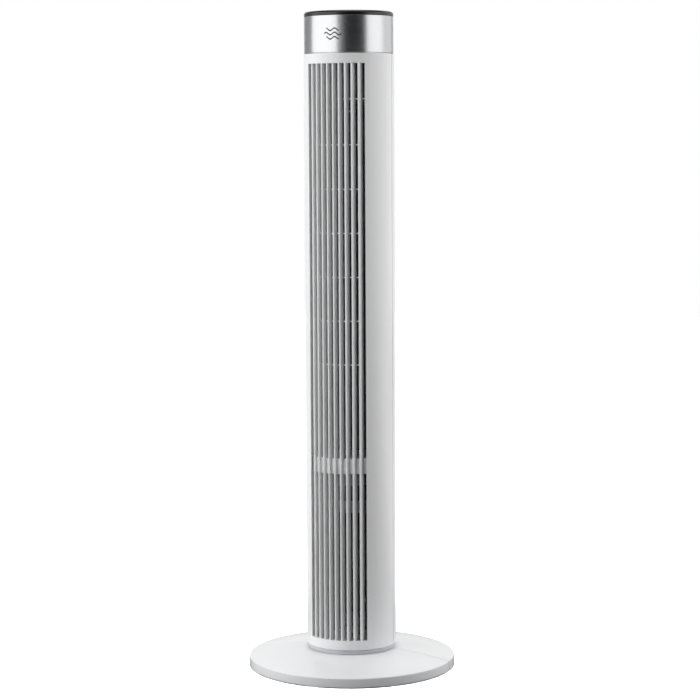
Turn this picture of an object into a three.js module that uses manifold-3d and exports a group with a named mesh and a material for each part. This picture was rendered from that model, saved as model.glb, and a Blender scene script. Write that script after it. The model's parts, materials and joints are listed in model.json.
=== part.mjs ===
// Tower fan on a round domed base. Millimetres, +Z up, the front faces -Y,
// and the origin is the centre of the base at floor level.
import * as THREE from "three";
import { mergeVertices } from "three/addons/utils/BufferGeometryUtils.js";
import Module from "manifold-3d";

const wasm = await Module();
wasm.setup();

// ---- Driving dimensions ----
const GAP = 0.3; // clearance between two pieces that touch
const RIM_SIDES = 60; // sides of the base
const ROUND = 48; // sides of the tower's round pieces
const MIDDLE = 24; // sides of the pieces inside it
const SMALL = 12; // sides of the small round pieces

const BASE_R = 152.8; // rim of the domed base
const BASE_FLOOR = 1.4; // lower edge of the rim
const RIM_TOP = 15.2; // where the dome meets the rim's rounding
const SEAT_Z = 27.3; // flat seat in the middle of the dome
const DOME_DROP = 1435; // the dome falls by r * r / DOME_DROP
const DOME_TOP = 30.88; // height that the dome's curve would reach on the axis
const SEAM = 0.15; // half of the gap between two halves

const COLLAR_R = 64.5; // fixed collar under the tower
const COLLAR_TOP = 33.6;
const SPIGOT_R = 12;
const SPIGOT_TOP = 52.8;
const BOSS_R = 14.5; // under the collar, through the dome's seat

const TOWER_R = 66; // outside of the tower's shells
const WALL = 2.6;
const TOWER_LOW = 34.3;
const TOWER_HIGH = 898.8;

const SLOT_LOW = 48.1; // the grille's slots, lowest and highest
const SLOT_HIGH = 884.6;
const FIN_PITCH = 8.89;
const FIN_WIDTH = 3.4;
const FIN_COUNT = 9;
const FIN_DEPTH = 12.9; // front to back, along Y
const GRILLE_HALF = 43.2; // half the width of the grille's opening
const LIP = 2; // frame round the grille's opening
const RIB_TOP = 768.7; // highest cross rib
const RIB_STEP = 63.3;
const RIB_COUNT = 6;
const RIB_HEIGHT = 1.8;
const RIB_DEPTH = 3;

const BAND_R = 61; // level band of the partition, behind the fins
const BAND_LOW = 293.4;
const BAND_HIGH = 316;

const SPIN_Y = 5; // the impeller's upright axis is at x 0 and this y
const IMPELLER_R = 42;
const BLADE_DEPTH = 10.5;
const BLADE_COUNT = 10;
const IMPELLER_LOW = 325.5;
const IMPELLER_HIGH = 815;
const SHAFT_R = 4;

const HARNESS_X = -48; // where the wire harness climbs
const HARNESS_Y = 32;
const HARNESS_R = 2.2;

const GEAR_MODULE = 1.25;
const GEAR_TEETH = 48;
const PINION_TEETH = 12;
const GEAR_LOW = 40;
const GEAR_HIGH = 46;
const PINION_Y = (GEAR_MODULE * (GEAR_TEETH + PINION_TEETH)) / 2;

const RING_R = 64.8; // silver ring and cap
const RING_LOW = 899.8;
const RING_HIGH = 952.5;
const CAP_TOP = 959.4;
const BUTTON_TOP = 960;
const BUTTON_R = 5;
const BUTTON_CIRCLE = 42; // the buttons sit on this radius
const BUTTON_STEP = 22; // degrees between two buttons

// ---- Geometry helpers ----

// A closed three.js geometry as a solid that can be joined and cut.
function solidOf(geometry) {
  for (const name of Object.keys(geometry.attributes)) {
    if (name !== "position") geometry.deleteAttribute(name);
  }
  const merged = mergeVertices(geometry, 1e-4);
  const corners = merged.index.array;
  const kept = [];
  for (let i = 0; i < corners.length; i += 3) {
    const [a, b, c] = corners.slice(i, i + 3);
    if (a !== b && b !== c && c !== a) kept.push(a, b, c);
  }
  return new wasm.Manifold(
    new wasm.Mesh({
      numProp: 3,
      vertProperties: merged.attributes.position.array,
      triVerts: new Uint32Array(kept),
    }),
  );
}

function geometryOf(solid) {
  const mesh = solid.getMesh();
  const geometry = new THREE.BufferGeometry();
  geometry.setAttribute("position", new THREE.BufferAttribute(mesh.vertProperties, 3));
  geometry.setIndex(new THREE.BufferAttribute(mesh.triVerts, 1));
  geometry.computeVertexNormals();
  return geometry;
}

const union = (solids) => solids.reduce((sum, solid) => sum.add(solid));

// A box between two x, two y and two z values.
function block([x0, x1], [y0, y1], [z0, z1]) {
  const geometry = new THREE.BoxGeometry(x1 - x0, y1 - y0, z1 - z0);
  geometry.translate((x0 + x1) / 2, (y0 + y1) / 2, (z0 + z1) / 2);
  return solidOf(geometry);
}

// An upright round bar at x, y.
function post(r, [z0, z1], x = 0, y = 0, sides = ROUND) {
  const geometry = new THREE.CylinderGeometry(r, r, z1 - z0, sides);
  geometry.rotateX(Math.PI / 2);
  geometry.translate(x, y, (z0 + z1) / 2);
  return solidOf(geometry);
}

// A round bar along Y, through x, z.
function rod(r, [y0, y1], x, z, sides = SMALL) {
  const geometry = new THREE.CylinderGeometry(r, r, y1 - y0, sides);
  geometry.translate(x, (y0 + y1) / 2, z);
  return solidOf(geometry);
}

// A solid turned about the upright line through x, y, from [radius, height] points in
// anticlockwise order. It starts and ends on the axis, or closes on itself.
function turned(outline, x = 0, y = 0, sides = ROUND) {
  const points = outline.map(([r, z]) => new THREE.Vector2(r, z));
  if (outline[0][0] > 0) points.push(points[0].clone());
  const geometry = new THREE.LatheGeometry(points, sides);
  geometry.rotateX(Math.PI / 2);
  geometry.translate(x, y, 0);
  return solidOf(geometry);
}

function ring(rIn, rOut, [z0, z1], x = 0, y = 0, sides = ROUND) {
  return turned([[rIn, z0], [rOut, z0], [rOut, z1], [rIn, z1]], x, y, sides);
}

// A flat outline of Vector2 points, given thickness along Z.
function plate(points, [z0, z1]) {
  const geometry = new THREE.ExtrudeGeometry(new THREE.Shape(points), {
    depth: z1 - z0,
    bevelEnabled: false,
  });
  geometry.translate(0, 0, z0);
  return solidOf(geometry);
}

// The outline of a strip of even thickness along a line of Vector2 points.
function strip(line, thickness) {
  const sides = [1, -1].map((side) =>
    line.map((point, i) => {
      const before = line[Math.max(i - 1, 0)];
      const after = line[Math.min(i + 1, line.length - 1)];
      const along = after.clone().sub(before).normalize();
      return new THREE.Vector2(-along.y, along.x)
        .multiplyScalar((side * thickness) / 2)
        .add(point);
    }),
  );
  return [...sides[0], ...sides[1].reverse()];
}

const polar = (r, degrees, x = 0, y = 0) => {
  const angle = THREE.MathUtils.degToRad(degrees);
  return new THREE.Vector2(x + r * Math.cos(angle), y + r * Math.sin(angle));
};

// ---- Materials: colour, roughness, metalness ----
const FINISH = {
  white_shell: [0xe9ecee, 0.35, 0],
  white_base: [0xeef0f2, 0.3, 0],
  foot: [0xcfd2d4, 0.6, 0],
  silver: [0xb9bcc0, 0.3, 0.9],
  black_gloss: [0x101113, 0.12, 0],
  button: [0x1b1c1e, 0.35, 0],
  smoked: [0x050607, 0.05, 0],
  nylon: [0xe4e2d8, 0.5, 0],
  grey_plastic: [0x8d9194, 0.5, 0],
  dark_plastic: [0x2a2c2e, 0.5, 0],
  rubber: [0x1c1c1c, 0.8, 0],
  steel: [0xa9abad, 0.35, 0.9],
  dark_steel: [0x45484b, 0.5, 0.8],
  bronze: [0x9a7440, 0.35, 0.9],
  copper: [0xa5582c, 0.35, 0.8],
  board: [0x24543a, 0.5, 0],
  cable: [0x262626, 0.6, 0],
};

const fan = new THREE.Group();

function add(name, solid, finish) {
  const [color, roughness, metalness] = FINISH[finish];
  const material = new THREE.MeshStandardMaterial({ color, roughness, metalness });
  const mesh = new THREE.Mesh(geometryOf(solid), material);
  mesh.name = name;
  fan.add(mesh);
}

// ---- Base ----
const BASE_SCREW_R = 100; // the base screws sit on this radius
const BASE_SCREW_ANGLES = [45, 135, 225, 315];
const BALLAST = [4, 8];
const RIM_WALL = 6;
const DOME_WALL = 2.6;
const BEYOND = 160; // clear of everything sideways

const domeHeight = (r) => DOME_TOP - (r * r) / DOME_DROP;

function domeShell() {
  const seatEdge = COLLAR_R + 1.9;
  const middle = 110;
  return turned([
    [BOSS_R + 0.5, SEAT_Z - DOME_WALL],
    ...[seatEdge, middle].map((r) => [r, domeHeight(r) - DOME_WALL - 0.3]),
    [BASE_R - RIM_WALL, RIM_TOP - DOME_WALL],
    [BASE_R - RIM_WALL, BASE_FLOOR],
    [BASE_R, BASE_FLOOR],
    [BASE_R - 0.4, RIM_TOP - 2.6],
    [BASE_R - 1.1, RIM_TOP - 0.9],
    ...[BASE_R - 2.8, middle, seatEdge].map((r) => [r, domeHeight(r)]),
    [seatEdge - 0.4, SEAT_Z],
    [BOSS_R + 0.5, SEAT_Z],
  ], 0, 0, RIM_SIDES);
}

function buildBase() {
  const spots = BASE_SCREW_ANGLES.map((angle) => polar(BASE_SCREW_R, angle));
  const bosses = spots.map(({ x, y }) => post(5, [BALLAST[1] + GAP, 21], x, y, SMALL));
  const holes = spots.map(({ x, y }) => post(2.3, [0, 17], x, y, SMALL));
  const dome = union([domeShell(), ...bosses]).subtract(union(holes));
  const across = [-BEYOND, BEYOND];
  add("base_front_half", dome.intersect(block(across, [-BEYOND, -SEAM], [0, 40])), "white_base");
  add("base_rear_half", dome.intersect(block(across, [SEAM, BEYOND], [0, 40])), "white_base");

  const ballast = ring(18, 138, BALLAST).subtract(union(holes));
  add("ballast_plate", ballast, "dark_steel");
  spots.forEach(({ x, y }, i) => {
    const head = post(4, [1.7, BALLAST[0] - GAP], x, y, SMALL);
    add(`base_screw_${i + 1}`, head.add(post(2, [2, 15], x, y, SMALL)), "steel");
  });

  // Five feet under each half, spread either side of its middle.
  const spread = [-85, -45, 0, 45, 85];
  [-90, 90].flatMap((middle) => spread.map((turn) => middle + turn)).forEach((angle, i) => {
    const geometry = new THREE.BoxGeometry(5, 14, BASE_FLOOR - GAP);
    geometry.translate(BASE_R - 2.7, 0, (BASE_FLOOR - GAP) / 2);
    geometry.rotateZ(THREE.MathUtils.degToRad(angle));
    add(`foot_${i + 1}`, solidOf(geometry), "foot");
  });
}

// ---- Swivel between the base and the tower ----
const WASHER_TOP = 34.6;
const TURNTABLE = [WASHER_TOP + GAP, WASHER_TOP + GAP + 3];
const TURNTABLE_R = 62.5;
const SWING_MOTOR = [48.8, 64.8];
const SWING_MOTOR_R = 22;
const SWING_EAR_X = 26;

// A spur gear's outline with involute flanks. Teeth further than `reach` degrees from
// +Y are left out.
function gearOutline(teeth, firstTooth, x, y, reach = 180) {
  const pitchR = (GEAR_MODULE * teeth) / 2;
  const pressure = THREE.MathUtils.degToRad(20);
  const baseR = pitchR * Math.cos(pressure);
  const involute = (angle) => Math.tan(angle) - angle;
  const rootR = pitchR - 1.35;
  const tipR = pitchR + 1.05;
  const backlash = 0.18; // taken off each tooth at the pitch circle
  const halfAt = (r) => {
    const angle = Math.acos(Math.min(baseR / r, 1));
    const half = Math.PI / (2 * teeth) - backlash / (2 * pitchR);
    return THREE.MathUtils.radToDeg(half + involute(pressure) - involute(angle));
  };
  const radii = [rootR, Math.max(baseR, rootR + 0.2), (pitchR + tipR) / 2 - 0.2, tipR];
  const points = [];
  for (let i = 0; i < teeth; i += 1) {
    const middle = firstTooth + (360 * i) / teeth;
    const fromFront = Math.abs(((middle - 90 + 540) % 360) - 180);
    if (fromFront > reach) {
      points.push(polar(rootR, middle, x, y));
      continue;
    }
    radii.forEach((r) => points.push(polar(r, middle - halfAt(r), x, y)));
    [...radii].reverse().forEach((r) => points.push(polar(r, middle + halfAt(r), x, y)));
  }
  return points;
}

function buildSwivel() {
  const collar = turned([
    [0, 20],
    [BOSS_R, 20],
    [BOSS_R, SEAT_Z + GAP],
    [COLLAR_R, SEAT_Z + GAP],
    [COLLAR_R, COLLAR_TOP],
    [SPIGOT_R, COLLAR_TOP],
    [SPIGOT_R, SPIGOT_TOP],
    [0, SPIGOT_TOP],
  ]);
  add("swivel_base", collar, "white_base");
  add("slide_washer", ring(40, 60, [COLLAR_TOP + GAP, WASHER_TOP]), "nylon");

  const gearHeights = [GEAR_LOW, GEAR_HIGH];
  const gear = plate(gearOutline(GEAR_TEETH, 0, 0, 0, 60), gearHeights);
  add("fixed_gear", gear.subtract(post(SPIGOT_R + GAP, [30, 50], 0, 0, MIDDLE)), "nylon");
  add("retaining_clip", ring(SPIGOT_R + GAP, 18, [GEAR_HIGH + GAP, GEAR_HIGH + GAP + 1.5], 0, 0, MIDDLE), "steel");

  const teeth = gearOutline(PINION_TEETH, 180 / PINION_TEETH, 0, PINION_Y);
  const stub = post(2.5, [GEAR_HIGH - 1, SWING_MOTOR[0] - GAP], 0, PINION_Y, SMALL);
  add("swing_pinion", plate(teeth, gearHeights).add(stub), "nylon");

  const top = ring(SPIGOT_R + 1, TURNTABLE_R, TURNTABLE);
  const posts = [-1, 1].map((side) =>
    post(3, [TURNTABLE[1] - 1, SWING_MOTOR[0] - GAP], side * SWING_EAR_X, PINION_Y, SMALL),
  );
  add("turntable_top", union([top, ...posts]), "grey_plastic");

  const can = post(SWING_MOTOR_R, SWING_MOTOR, 0, PINION_Y, MIDDLE);
  const earX = SWING_EAR_X + 4;
  const earHeights = [SWING_MOTOR[0], SWING_MOTOR[0] + 2];
  const ears = block([-earX, earX], [PINION_Y - 4, PINION_Y + 4], earHeights);
  add("swing_motor", can.add(ears), "steel");
}

// ---- Shells of the tower ----
const SCREW_X = 58; // screws that hold the two shells together
const SCREW_HEIGHTS = [100, 850];
const SCREW_SEAT = 18; // the heads' undersides are at this y
const HANDLE = { halfWidth: 40, low: 836, high: 876, depth: 32, wall: 2 };
const GLAND_Z = 84;
const INTAKE = { low: 330, high: 815, halfWidth: 49, pitch: 9.25, slot: 6, rows: 4, rib: 5 };
const TOWER_SPAN = [TOWER_LOW, TOWER_HIGH];
const BOARD_PEGS = [[-24, 112], [24, 112], [-24, 190], [24, 190]];

const screwSpots = SCREW_HEIGHTS.flatMap((z) => [[-SCREW_X, z], [SCREW_X, z]]);

// The part of the tower's cylinder that lies between two depths behind its front surface.
const frontBand = (from, to) =>
  post(TOWER_R, TOWER_SPAN, 0, from).subtract(post(TOWER_R, [0, 900], 0, to));

function buildFrontShell() {
  const opening = [-GRILLE_HALF, GRILLE_HALF];
  const wall = ring(TOWER_R - WALL, TOWER_R, TOWER_SPAN).subtract(
    block(opening, [-70, 0], [SLOT_LOW, SLOT_HIGH]),
  );

  const rim = [-GRILLE_HALF - LIP, GRILLE_HALF + LIP];
  const frame = block(rim, [-70, -10], [SLOT_LOW - LIP, SLOT_HIGH + LIP]).subtract(
    block(opening, [-80, 0], [SLOT_LOW, SLOT_HIGH]),
  );
  const bars = [frame];
  const lastFin = ((FIN_COUNT - 1) / 2) * FIN_PITCH;
  for (let x = -lastFin; x <= lastFin; x += FIN_PITCH) {
    const width = [x - FIN_WIDTH / 2, x + FIN_WIDTH / 2];
    bars.push(block(width, [-70, -10], [SLOT_LOW - 1, SLOT_HIGH + 1]));
  }
  const grille = union(bars).intersect(frontBand(0, FIN_DEPTH));

  const ribs = [];
  for (let i = 0; i < RIB_COUNT; i += 1) {
    const z = RIB_TOP - i * RIB_STEP;
    ribs.push(block([-lastFin, lastFin], [-70, -10], [z - RIB_HEIGHT / 2, z + RIB_HEIGHT / 2]));
  }
  const backs = union(ribs).intersect(frontBand(FIN_DEPTH - RIB_DEPTH, FIN_DEPTH));
  const notch = post(BAND_R + GAP, [BAND_LOW - GAP, BAND_HIGH + GAP]);

  const bosses = screwSpots.map(([x, z]) =>
    rod(4.5, [-40, -SEAM], x, z).subtract(rod(1.8, [-16, 0], x, z)),
  );
  const inside = union(bosses).intersect(post(TOWER_R - 1, TOWER_SPAN));
  const whole = union([wall, grille.add(backs).subtract(notch), inside]);
  const front = block([-80, 80], [-80, -SEAM], [0, 900]);
  add("front_grille_shell", whole.intersect(front), "white_shell");
}

function buildRearShell() {
  const cuts = [];
  const rowStep = (INTAKE.high - INTAKE.low + INTAKE.rib) / INTAKE.rows;
  const slots = Math.floor(INTAKE.halfWidth / INTAKE.pitch) * 2;
  for (let i = 0; i < slots; i += 1) {
    const x = (i - (slots - 1) / 2) * INTAKE.pitch;
    for (let row = 0; row < INTAKE.rows; row += 1) {
      const low = INTAKE.low + row * rowStep;
      const across = [x - INTAKE.slot / 2, x + INTAKE.slot / 2];
      cuts.push(block(across, [20, 80], [low, low + rowStep - INTAKE.rib]));
    }
  }
  const across = [-HANDLE.halfWidth - GAP, HANDLE.halfWidth + GAP];
  cuts.push(block(across, [20, 80], [HANDLE.low - GAP, HANDLE.high + GAP]));
  cuts.push(rod(6.6, [50, 80], 0, GLAND_Z));

  const bosses = screwSpots.map(([x, z]) => rod(4.5, [SEAM, 40], x, z));
  const pegs = BOARD_PEGS.map(([x, z]) => rod(3, [23.9, 62], x, z));
  const inside = union([...bosses, ...pegs]).intersect(post(TOWER_R - 1, TOWER_SPAN));
  const screwHoles = screwSpots.flatMap(([x, z]) => [
    rod(1.8, [-1, 40], x, z),
    rod(3.5, [SCREW_SEAT - GAP, 60], x, z),
  ]);
  const wall = ring(TOWER_R - WALL, TOWER_R, TOWER_SPAN).add(inside);
  const whole = wall.subtract(union([...cuts, ...screwHoles]));
  const rear = block([-80, 80], [SEAM, 80], [0, 900]);
  add("rear_intake_shell", whole.intersect(rear), "white_shell");
}

function buildRearFittings() {
  const { halfWidth, low, high, depth, wall } = HANDLE;
  const cup = block([-halfWidth, halfWidth], [depth, 80], [low, high]).subtract(
    block([wall - halfWidth, halfWidth - wall], [depth + wall, 90], [low + wall, high - wall]),
  );
  add("carry_handle", cup.intersect(post(TOWER_R - 0.2, [800, 900])), "grey_plastic");

  const gland = rod(6.3, [51, 67], 0, GLAND_Z).add(rod(9, [TOWER_R + GAP, 69], 0, GLAND_Z));
  add("cord_gland", gland.subtract(rod(3.7, [50, 80], 0, GLAND_Z)), "dark_plastic");

  screwSpots.forEach(([x, z], i) => {
    const head = rod(3.2, [SCREW_SEAT, SCREW_SEAT + 2.4], x, z);
    const shank = rod(1.5, [-14, SCREW_SEAT + 1], x, z);
    add(`shell_screw_${i + 1}`, head.add(shank), "steel");
  });
}

// ---- Air path: partition, bearing plate, walls and impeller ----
const BEARING_PLATE = [822, 825];
const PARTITION_TOP = [BAND_HIGH - 2.5, BAND_HIGH];
const MOTOR_TOP = 286;

const harnessHole = (heights) => post(HARNESS_R + 1.3, heights, HARNESS_X, HARNESS_Y, SMALL);

function buildPlates() {
  const skirt = ring(BAND_R - 2.5, BAND_R, [BAND_LOW, BAND_HIGH]);
  const floor = post(BAND_R - 1, PARTITION_TOP);
  const legs = [30, 150, 270].map((angle) => {
    const { x, y } = polar(30, angle, 0, SPIN_Y);
    return post(4, [MOTOR_TOP + GAP, BAND_HIGH - 1], x, y, SMALL);
  });
  const shaftHole = post(9, [BAND_LOW, BAND_HIGH + 1], 0, SPIN_Y, SMALL);
  const partition = union([skirt, floor, ...legs]).subtract(shaftHole);
  add("motor_partition", partition.subtract(harnessHole([BAND_LOW - 1, BAND_HIGH + 1])), "white_shell");

  const round = post(61.5, BEARING_PLATE).intersect(post(TOWER_R, [800, 850], 0, FIN_DEPTH + 0.5));
  const bearingHole = post(10.3, [800, 850], 0, SPIN_Y, SMALL);
  const upper = round.subtract(bearingHole).subtract(harnessHole([800, 850]));
  add("top_bearing_plate", upper, "grey_plastic");

  const grommet = [[6.8, 819], [10, 819], [10, 825.3], [13, 825.3], [13, 828], [6.8, 828]];
  add("bearing_grommet", turned(grommet, 0, SPIN_Y, SMALL), "rubber");
  add("bearing_bush", ring(SHAFT_R + GAP, 6.5, [819, 828], 0, SPIN_Y, SMALL), "bronze");
}

// The scroll wall opens out round the impeller towards the grille's edge, and the
// cutoff wall hooks round the impeller on the other side.
function buildAirWalls() {
  const heights = [BAND_HIGH + 0.7, BEARING_PLATE[0] - 0.5];
  const scroll = [];
  for (let i = 0; i <= 12; i += 1) {
    const t = i / 12;
    scroll.push(polar(44.8 + 15.6 * t ** 2.2, 60 - 98 * t, 0, SPIN_Y));
  }
  add("scroll_wall", plate(strip(scroll, 1.6), heights), "dark_plastic");

  const cutoff = [new THREE.Vector2(-45.7, -34.4)];
  for (let angle = 222; angle >= 190; angle -= 8) cutoff.push(polar(45.4, angle, 0, SPIN_Y));
  add("cutoff_wall", plate(strip(cutoff, 1.6), heights), "dark_plastic");
}

function buildImpeller() {
  const blades = [];
  for (let i = 0; i < BLADE_COUNT; i += 1) {
    const height = IMPELLER_HIGH - IMPELLER_LOW - 2;
    const geometry = new THREE.BoxGeometry(BLADE_DEPTH, 1.3, height);
    geometry.rotateZ(THREE.MathUtils.degToRad(22));
    geometry.translate(IMPELLER_R - BLADE_DEPTH / 2, 0, (IMPELLER_HIGH + IMPELLER_LOW) / 2);
    geometry.rotateZ((i * 2 * Math.PI) / BLADE_COUNT);
    geometry.translate(0, SPIN_Y, 0);
    blades.push(solidOf(geometry));
  }
  const low = ring(12, IMPELLER_R, [IMPELLER_LOW, IMPELLER_LOW + 3], 0, SPIN_Y, MIDDLE);
  const high = ring(SHAFT_R + GAP, IMPELLER_R, [IMPELLER_HIGH - 3, IMPELLER_HIGH], 0, SPIN_Y, MIDDLE);
  const discs = [1, 2].map((i) => {
    const z = IMPELLER_LOW + ((IMPELLER_HIGH - IMPELLER_LOW) * i) / 3;
    return ring(IMPELLER_R - 12, IMPELLER_R, [z - 1, z + 1], 0, SPIN_Y, MIDDLE);
  });
  add("impeller", union([low, high, ...discs, ...blades]), "dark_plastic");

  const pin = post(SHAFT_R, [806, 827.5], 0, SPIN_Y, SMALL);
  const collar = post(8, [IMPELLER_HIGH + GAP, 817.5], 0, SPIN_Y, SMALL);
  add("impeller_shaft", pin.add(collar), "steel");

  const seat = IMPELLER_LOW + 3 + GAP;
  const hub = [[SHAFT_R + GAP, seat - 9.3], [11.7, seat - 9.3], [11.7, seat], [16, seat],
    [16, seat + 2], [SHAFT_R + GAP, seat + 2]];
  add("drive_hub", turned(hub, 0, SPIN_Y, SMALL), "rubber");
}

// ---- Fan motor and electrics ----
const STATOR = [MOTOR_TOP - 36.5, MOTOR_TOP - 14.5];

function buildMotor() {
  const quarters = [0, 90, 180, 270];
  const radial = (rIn, rOut, width, heights) =>
    quarters.map((angle) => {
      const geometry = new THREE.BoxGeometry(rOut - rIn, width, heights[1] - heights[0]);
      geometry.translate((rIn + rOut) / 2, 0, (heights[0] + heights[1]) / 2);
      geometry.rotateZ(THREE.MathUtils.degToRad(angle));
      geometry.translate(0, SPIN_Y, 0);
      return solidOf(geometry);
    });
  const stack = ring(20.5, 37, STATOR, 0, SPIN_Y, MIDDLE);
  add("motor_stator", stack.subtract(union(radial(24, 31, 8, [STATOR[0] - 10, STATOR[1] + 10]))), "dark_steel");
  const coils = [[STATOR[0] - 10, STATOR[0] - 1], [STATOR[1] + 1, STATOR[1] + 10]].map((heights) => ring(22, 31, heights, 0, SPIN_Y, MIDDLE));
  add("motor_winding", union([...coils, ...radial(24.5, 30.5, 7, [STATOR[0] - 2, STATOR[1] + 2])]), "copper");

  const axle = post(SHAFT_R, [STATOR[0] - 21, IMPELLER_LOW + 6], 0, SPIN_Y, SMALL);
  add("motor_rotor", axle.add(post(19.8, [STATOR[0] - 0.5, STATOR[1] + 0.5], 0, SPIN_Y, MIDDLE)), "steel");

  const bore = SHAFT_R + 0.4;
  const above = STATOR[1] + GAP;
  const upper = [[bore, MOTOR_TOP - 3], [33.5, MOTOR_TOP - 3], [33.5, above], [36.5, above],
    [36.5, MOTOR_TOP], [bore, MOTOR_TOP]];
  add("motor_upper_bracket", turned(upper, 0, SPIN_Y, MIDDLE), "steel");
  const below = STATOR[0] - GAP;
  const foot = STATOR[0] - 18;
  const lower = [[bore, foot], [36.5, foot], [36.5, below], [33.5, below], [33.5, foot + 3],
    [bore, foot + 3]];
  add("motor_lower_bracket", turned(lower, 0, SPIN_Y, MIDDLE), "steel");
}

function buildElectrics() {
  const board = block([-36, 36], [22, 23.6], [105, 200]);
  const parts = [
    block([-30, -6], [8, 22.5], [118, 142]),
    block([4, 20], [10, 22.5], [150, 166]),
    block([-20, -8], [12, 22.5], [160, 172]),
    block([8, 30], [14, 22.5], [116, 126]),
  ];
  add("main_board", union([board, ...parts]), "board");
  add("run_capacitor", block([4, 34], [24, 40], [140, 172]), "grey_plastic");

  const route = [
    [-33, 17.5, 165], [-38, 18, 182], [-45, 27, 202], [HARNESS_X, HARNESS_Y, 222],
    [HARNESS_X, HARNESS_Y, 400], [HARNESS_X, HARNESS_Y, 640], [HARNESS_X, HARNESS_Y, 878],
    [-43, 26, 902], [-34, 12, 922], [-30, 2, 943.6],
  ].map((point) => new THREE.Vector3(...point));
  const section = Array.from({ length: 6 }, (_, i) => polar(HARNESS_R, 60 * i));
  const geometry = new THREE.ExtrudeGeometry(new THREE.Shape(section), {
    steps: 40,
    extrudePath: new THREE.CatmullRomCurve3(route, false, "catmullrom", 0.5),
  });
  add("wire_harness", solidOf(geometry), "cable");
}

// ---- Ring, cap and controls ----
const BUTTONS = ["power", "speed", "mode", "timer", "swing"];
const WINDOW = { halfWidth: 20, front: -15, back: -1 };
const CAP_WALL = 2.5;
const CAP_ROUNDING = 4;

const buttonSpots = BUTTONS.map((_, i) => polar(BUTTON_CIRCLE, -90 + (i - 2) * BUTTON_STEP));

function buildHead() {
  const trim = turned([
    [60.3, RING_LOW - 9],
    [62.8, RING_LOW - 9],
    [62.8, RING_LOW],
    [RING_R, RING_LOW],
    [RING_R, RING_HIGH],
    [62.5, RING_HIGH],
    [62.5, RING_LOW + 3],
    [60.3, RING_LOW + 3],
  ]);
  add("trim_ring", trim, "silver");

  const rounding = [0, 45, 90].map((degrees) => {
    const corner = polar(CAP_ROUNDING, degrees, RING_R - CAP_ROUNDING, CAP_TOP - CAP_ROUNDING);
    return [corner.x, corner.y];
  });
  const under = CAP_TOP - CAP_WALL;
  const dish = turned([
    [0, under],
    [60, under],
    [60, 944],
    [62.2, 944],
    [62.2, RING_HIGH + GAP],
    [RING_R, RING_HIGH + GAP],
    ...rounding,
    [0, CAP_TOP],
  ]);
  const holes = buttonSpots.map(({ x, y }) => post(BUTTON_R + GAP, [950, 970], x, y, SMALL));
  const { halfWidth, front, back } = WINDOW;
  holes.push(block([-halfWidth - GAP, halfWidth + GAP], [front - GAP, back + GAP], [950, 970]));
  const posts = [-35, 35].map((x) => post(3, [946.9, under + 1], x, 0, SMALL));
  add("top_cap", union([dish, ...posts]).subtract(union(holes)), "black_gloss");
  const pane = block([-halfWidth, halfWidth], [front, back], [under + 0.2, CAP_TOP - 0.2]);
  add("display_window", pane, "smoked");
}

function buildControls() {
  const board = block([-45, 45], [-48, 8], [945, 946.6]).intersect(post(58, [940, 950]));
  const switches = buttonSpots.map(({ x, y }) => block([x - 3, x + 3], [y - 3, y + 3], [946, 950.4]));
  const display = block([-18, 18], [-14, -2], [946, 956.4]);
  add("control_board", union([board, ...switches, display]), "board");
  add("ir_receiver", block([-4, 4], [-57, -50], [947, 955]), "dark_plastic");

  buttonSpots.forEach(({ x, y }, i) => {
    const outline = [
      [0, 951.4],
      [1.5, 951.4],
      [1.5, 954.6],
      [BUTTON_R + 1.4, 954.6],
      [BUTTON_R + 1.4, CAP_TOP - CAP_WALL - GAP],
      [BUTTON_R, CAP_TOP - CAP_WALL - GAP],
      [BUTTON_R, BUTTON_TOP - 0.5],
      [BUTTON_R - 0.5, BUTTON_TOP],
      [0, BUTTON_TOP],
    ];
    add(`${BUTTONS[i]}_button`, turned(outline, x, y, SMALL), "button");
  });
}

buildBase();
buildSwivel();
buildFrontShell();
buildRearShell();
buildRearFittings();
buildPlates();
buildAirWalls();
buildImpeller();
buildMotor();
buildElectrics();
buildHead();
buildControls();

export default fan;
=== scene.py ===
"""The looks of a tower fan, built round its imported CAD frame. Metres, +Z up, the
grille faces -Y. Places and sizes come from the frame's nodes."""

import json
import math

import bmesh
import bpy
from mathutils import Matrix, Vector


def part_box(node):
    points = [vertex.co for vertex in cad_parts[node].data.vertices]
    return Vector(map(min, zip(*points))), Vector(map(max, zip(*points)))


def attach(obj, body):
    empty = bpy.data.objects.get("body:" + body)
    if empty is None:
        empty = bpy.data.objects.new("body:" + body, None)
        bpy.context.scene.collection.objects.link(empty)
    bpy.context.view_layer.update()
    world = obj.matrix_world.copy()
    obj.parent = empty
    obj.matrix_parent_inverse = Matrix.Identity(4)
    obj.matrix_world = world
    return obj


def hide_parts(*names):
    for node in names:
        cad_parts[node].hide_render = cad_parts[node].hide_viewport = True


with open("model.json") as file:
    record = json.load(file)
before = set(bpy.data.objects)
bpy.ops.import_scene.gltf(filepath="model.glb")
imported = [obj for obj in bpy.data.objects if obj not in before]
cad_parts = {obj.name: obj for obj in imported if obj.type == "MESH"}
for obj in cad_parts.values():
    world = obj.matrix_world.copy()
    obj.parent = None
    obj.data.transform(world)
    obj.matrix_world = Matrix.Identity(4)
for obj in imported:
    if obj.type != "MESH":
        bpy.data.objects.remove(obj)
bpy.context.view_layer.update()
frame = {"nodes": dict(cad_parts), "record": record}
nodes = frame["nodes"]

MM = 0.001

# ---- Sizes, from the frame ----
tower_low, tower_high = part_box("front_grille_shell")
rear_low, rear_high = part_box("rear_intake_shell")
base_low, base_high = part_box("base_front_half")
collar_low, collar_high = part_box("swivel_base")
band_low, band_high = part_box("motor_partition")
trim_low, trim_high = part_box("trim_ring")
cap_low, cap_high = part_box("top_cap")
handle_low, handle_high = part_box("carry_handle")
gland_low, gland_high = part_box("cord_gland")
drum_low, drum_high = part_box("impeller")
lens_low, lens_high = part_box("display_window")

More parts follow.
